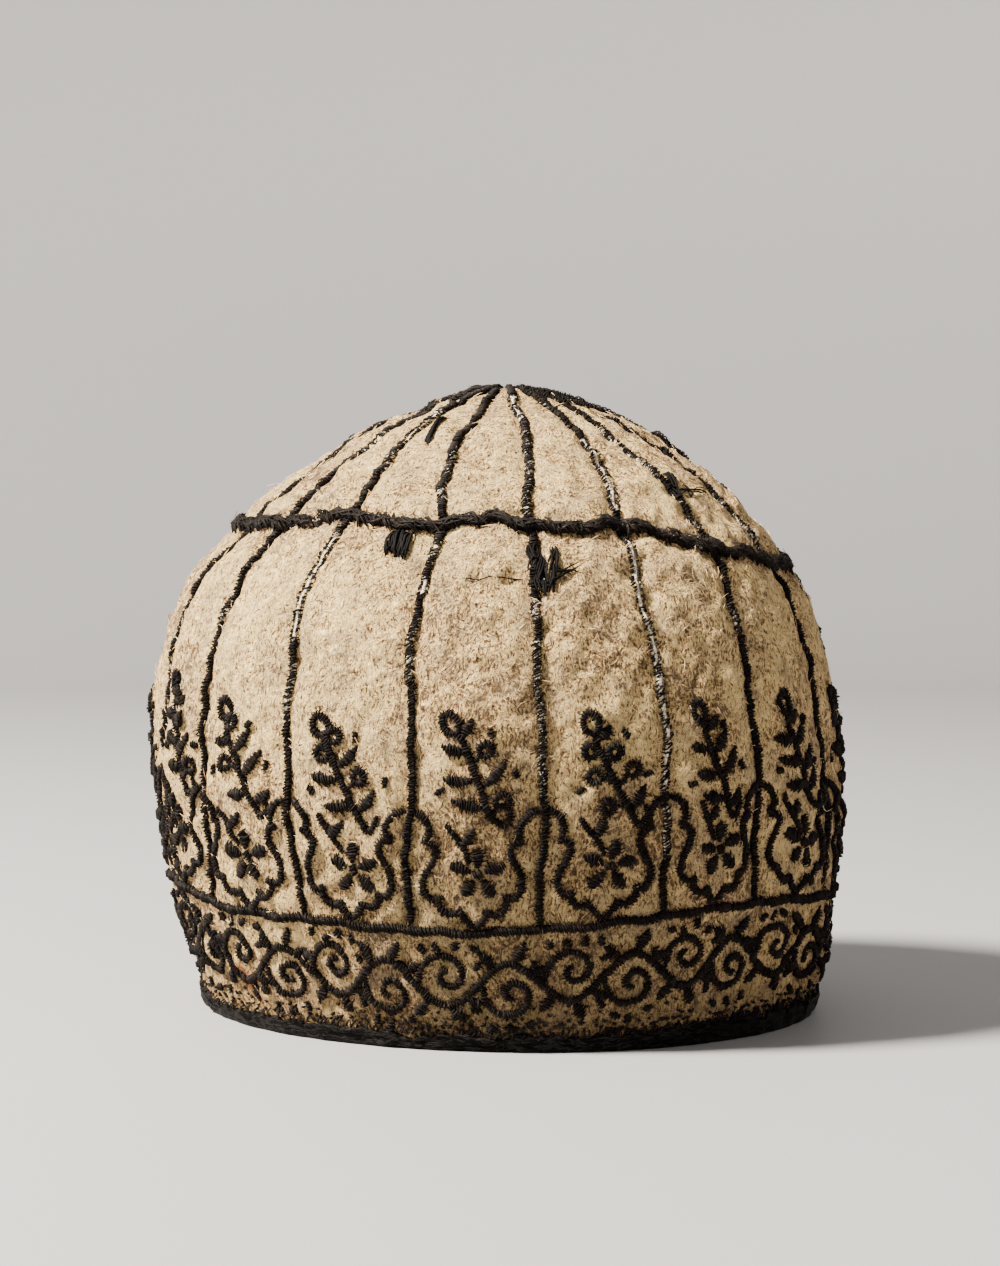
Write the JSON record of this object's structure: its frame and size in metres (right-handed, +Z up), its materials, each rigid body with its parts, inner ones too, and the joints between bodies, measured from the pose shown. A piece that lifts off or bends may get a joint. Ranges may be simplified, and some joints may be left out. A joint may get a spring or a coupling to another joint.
{
  "type": "dervish hat",
  "caption": "Tall rounded felt cap, open underneath, with dark wool cord sewn on in upright lines and scallops and a dark strip round its rim.",
  "frame": {"origin": "middle of the head opening, in the plane of the rim that the hat stands on", "axes": "+Z up to the crown, -Y towards the front, +X to the right of someone who looks at the front"},
  "size_m": [0.2094, 0.2093, 0.1876],
  "materials": {
    "cream_felt": "hairy matt wool felt, mottled and grimy at the hem",
    "dark_wool": "dark brown wool, wound and sewn down, hairy",
    "dark_strip": "worn dark strip, slightly glossy along its folds"
  },
  "bodies": {
    "root": {"felt_cap": "cream_felt", "rim_binding": "dark_strip", "crown_ring_cord": "dark_wool", "band_cord": "dark_wool", "gore_cord_01": "dark_wool", "gore_cord_02": "dark_wool", "gore_cord_03": "dark_wool", "gore_cord_04": "dark_wool", "gore_cord_05": "dark_wool", "gore_cord_06": "dark_wool", "gore_cord_07": "dark_wool", "gore_cord_08": "dark_wool", "gore_cord_09": "dark_wool", "gore_cord_10": "dark_wool", "gore_cord_11": "dark_wool", "gore_cord_12": "dark_wool", "gore_cord_13": "dark_wool", "gore_cord_14": "dark_wool", "gore_cord_15": "dark_wool", "gore_cord_16": "dark_wool", "gore_cord_17": "dark_wool", "gore_cord_18": "dark_wool", "cartouche_cord_01": "dark_wool", "cartouche_cord_02": "dark_wool", "cartouche_cord_03": "dark_wool", "cartouche_cord_04": "dark_wool", "cartouche_cord_05": "dark_wool", "cartouche_cord_06": "dark_wool", "cartouche_cord_07": "dark_wool", "cartouche_cord_08": "dark_wool", "cartouche_cord_09": "dark_wool", "cartouche_cord_10": "dark_wool", "cartouche_cord_11": "dark_wool", "cartouche_cord_12": "dark_wool", "cartouche_cord_13": "dark_wool", "cartouche_cord_14": "dark_wool", "cartouche_cord_15": "dark_wool", "cartouche_cord_16": "dark_wool", "cartouche_cord_17": "dark_wool", "cartouche_cord_18": "dark_wool"}
  },
  "joints": []
}
